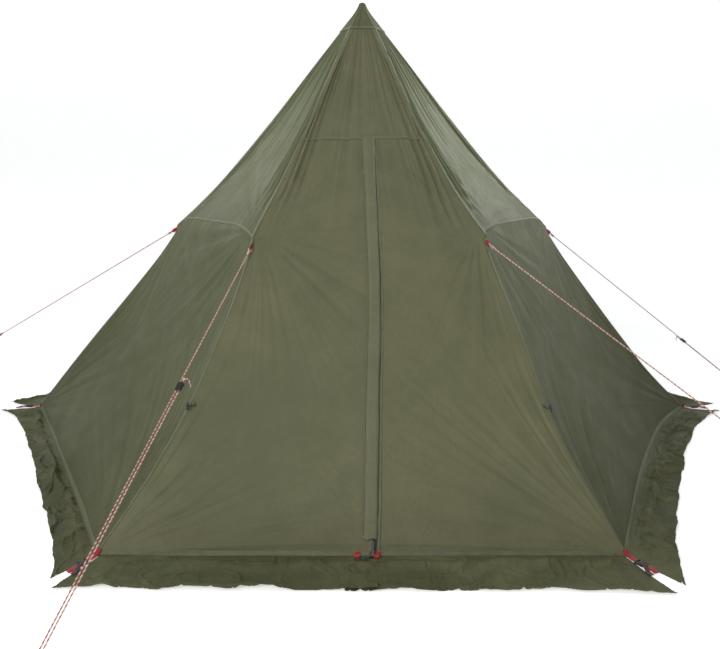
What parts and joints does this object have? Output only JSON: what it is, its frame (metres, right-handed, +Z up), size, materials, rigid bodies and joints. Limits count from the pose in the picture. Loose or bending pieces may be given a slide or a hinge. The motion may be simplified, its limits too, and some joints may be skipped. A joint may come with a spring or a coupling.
{
  "type": "teepee tent",
  "caption": "Hexagonal teepee tent on a centre pole, with a zipped folding door under a storm flap, sod cloths on the ground and guy lines from the ridges.",
  "frame": {"origin": "on the ground under the peak, at the centre of the pole foot", "axes": "+Z up, the door faces -Y, +X to the right of the door seen from outside"},
  "size_m": [5.5833, 4.5697, 2.4621],
  "materials": {
    "canvas": "matte",
    "canvas_flap": "matte",
    "webbing": "matte",
    "cord": "matte",
    "plastic": "satin",
    "zip": "matte",
    "steel": "satin",
    "rubber": "matte"
  },
  "bodies": {
    "tent": {"pole_foot": "rubber", "pole_lower": "steel", "pole_upper": "steel", "peak_cap": "canvas_flap", "front_top_panel": "canvas", "front_panel_left": "canvas", "front_panel_right": "canvas", "wall_right_front": "canvas", "wall_right_back": "canvas", "wall_back": "canvas", "wall_left_back": "canvas", "wall_left_front": "canvas", "tieout_fl": "webbing", "tieout_fr": "webbing", "tieout_r": "webbing", "tieout_br": "webbing", "tieout_bl": "webbing", "tieout_l": "webbing", "guy_fl": "cord", "guy_fr": "cord", "guy_r": "cord", "guy_br": "cord", "guy_bl": "cord", "guy_l": "cord", "peg_fl": "steel", "peg_fr": "steel", "peg_r": "steel", "peg_br": "steel", "peg_bl": "steel", "peg_l": "steel", "corner_strap_fl": "webbing", "corner_strap_fr": "webbing", "corner_strap_r": "webbing", "corner_strap_br": "webbing", "corner_strap_bl": "webbing", "corner_strap_l": "webbing"},
    "leaf_left": {"door_leaf_left": "canvas", "zip_coil_left": "zip", "skirt_front_left": "canvas"},
    "leaf_right": {"door_leaf_right": "canvas", "zip_coil_right": "zip", "skirt_front_right": "canvas"},
    "flap": {"storm_flap": "canvas_flap"},
    "slider": {"zip_slider": "plastic"},
    "pull": {"zip_pull": "plastic"},
    "ring": {"door_ring": "plastic"},
    "clip": {"door_clip": "plastic"},
    "toggle_l": {"toggle_left": "plastic"},
    "toggle_r": {"toggle_right": "plastic"},
    "skirt_right_front": {"skirt_right_front": "canvas"},
    "skirt_right_back": {"skirt_right_back": "canvas"},
    "skirt_back": {"skirt_back": "canvas"},
    "skirt_left_back": {"skirt_left_back": "canvas"},
    "skirt_left_front": {"skirt_left_front": "canvas"},
    "runner_fl": {"runner_fl": "plastic"},
    "runner_fr": {"runner_fr": "plastic"},
    "runner_r": {"runner_r": "plastic"},
    "runner_br": {"runner_br": "plastic"},
    "runner_bl": {"runner_bl": "plastic"},
    "runner_l": {"runner_l": "plastic"}
  },
  "joints": [
    {"name": "door_left_fold", "type": "hinge", "parent": "tent", "child": "leaf_left", "pos_m": [-1, -1.73325, 0.00089], "axis": [-0.4678, -0.5273, -0.7093], "range_deg": [0, 40]},
    {"name": "door_right_fold", "type": "hinge", "parent": "tent", "child": "leaf_right", "pos_m": [1, -1.73325, 0.00089], "axis": [-0.4347, 0.5373, 0.7227], "range_deg": [0, 100]},
    {"name": "flap_open", "type": "hinge", "parent": "leaf_left", "child": "flap", "pos_m": [-0.003, -1.68947, 0.0618], "axis": [0, -0.5966, -0.8025], "range_deg": [0, 150]},
    {"name": "zip_slide", "type": "slide", "parent": "leaf_left", "child": "slider", "axis": [0, 0.5966, 0.8025], "range_m": [0, 1.86]},
    {"name": "zip_pull_swing", "type": "hinge", "parent": "slider", "child": "pull", "pos_m": [0.0414, -1.71029, 0.03865], "axis": [-1, 0, 0], "range_deg": [0, 85]},
    {"name": "ring_swing", "type": "hinge", "parent": "leaf_left", "child": "ring", "pos_m": [-0.019, -1.73705, 0.0046], "axis": [-1, 0, 0], "range_deg": [0, 80]},
    {"name": "clip_swing", "type": "hinge", "parent": "ring", "child": "clip", "pos_m": [-0.009, -1.74705, 0.0046], "axis": [0, 0, -1], "range_deg": [0, 38]},
    {"name": "toggle_left_turn", "type": "hinge", "parent": "tent", "child": "toggle_l", "pos_m": [-0.716, -1.38587, 0.47859], "axis": [0, -0.8025, 0.5966], "range_deg": [-45, 45]},
    {"name": "toggle_right_turn", "type": "hinge", "parent": "tent", "child": "toggle_r", "pos_m": [0.772, -1.39033, 0.47259], "axis": [0, -0.8025, 0.5966], "range_deg": [-45, 45]},
    {"name": "skirt_right_front_lift", "type": "hinge", "parent": "tent", "child": "skirt_right_front", "pos_m": [1.5, -0.86603, 0.001], "axis": [-0.5, -0.866, 0], "range_deg": [0, 85]},
    {"name": "skirt_right_back_lift", "type": "hinge", "parent": "tent", "child": "skirt_right_back", "pos_m": [1.5, 0.86603, 0.001], "axis": [0.5, -0.866, 0], "range_deg": [0, 85]},
    {"name": "skirt_back_lift", "type": "hinge", "parent": "tent", "child": "skirt_back", "pos_m": [0, 1.73205, 0.001], "axis": [1, 0, 0], "range_deg": [0, 85]},
    {"name": "skirt_left_back_lift", "type": "hinge", "parent": "tent", "child": "skirt_left_back", "pos_m": [-1.5, 0.86603, 0.001], "axis": [0.5, 0.866, 0], "range_deg": [0, 85]},
    {"name": "skirt_left_front_lift", "type": "hinge", "parent": "tent", "child": "skirt_left_front", "pos_m": [-1.5, -0.86603, 0.001], "axis": [-0.5, 0.866, 0], "range_deg": [0, 85]},
    {"name": "runner_fl_slide", "type": "slide", "parent": "tent", "child": "runner_fl", "axis": [-0.2571, -0.7583, -0.5991], "range_m": [0, 0.45]},
    {"name": "runner_fr_slide", "type": "slide", "parent": "tent", "child": "runner_fr", "axis": [0.6921, -0.4964, -0.5241], "range_m": [0, 0.45]},
    {"name": "runner_r_slide", "type": "slide", "parent": "tent", "child": "runner_r", "axis": [0.7953, 0.1404, -0.5897], "range_m": [0, 0.4]},
    {"name": "runner_br_slide", "type": "slide", "parent": "tent", "child": "runner_br", "axis": [0.4472, 0.6809, -0.58], "range_m": [0, 0.45]},
    {"name": "runner_bl_slide", "type": "slide", "parent": "tent", "child": "runner_bl", "axis": [-0.4472, 0.6809, -0.58], "range_m": [0, 0.45]},
    {"name": "runner_l_slide", "type": "slide", "parent": "tent", "child": "runner_l", "axis": [-0.8648, 0.0967, -0.4926], "range_m": [0, 0.45]}
  ]
}
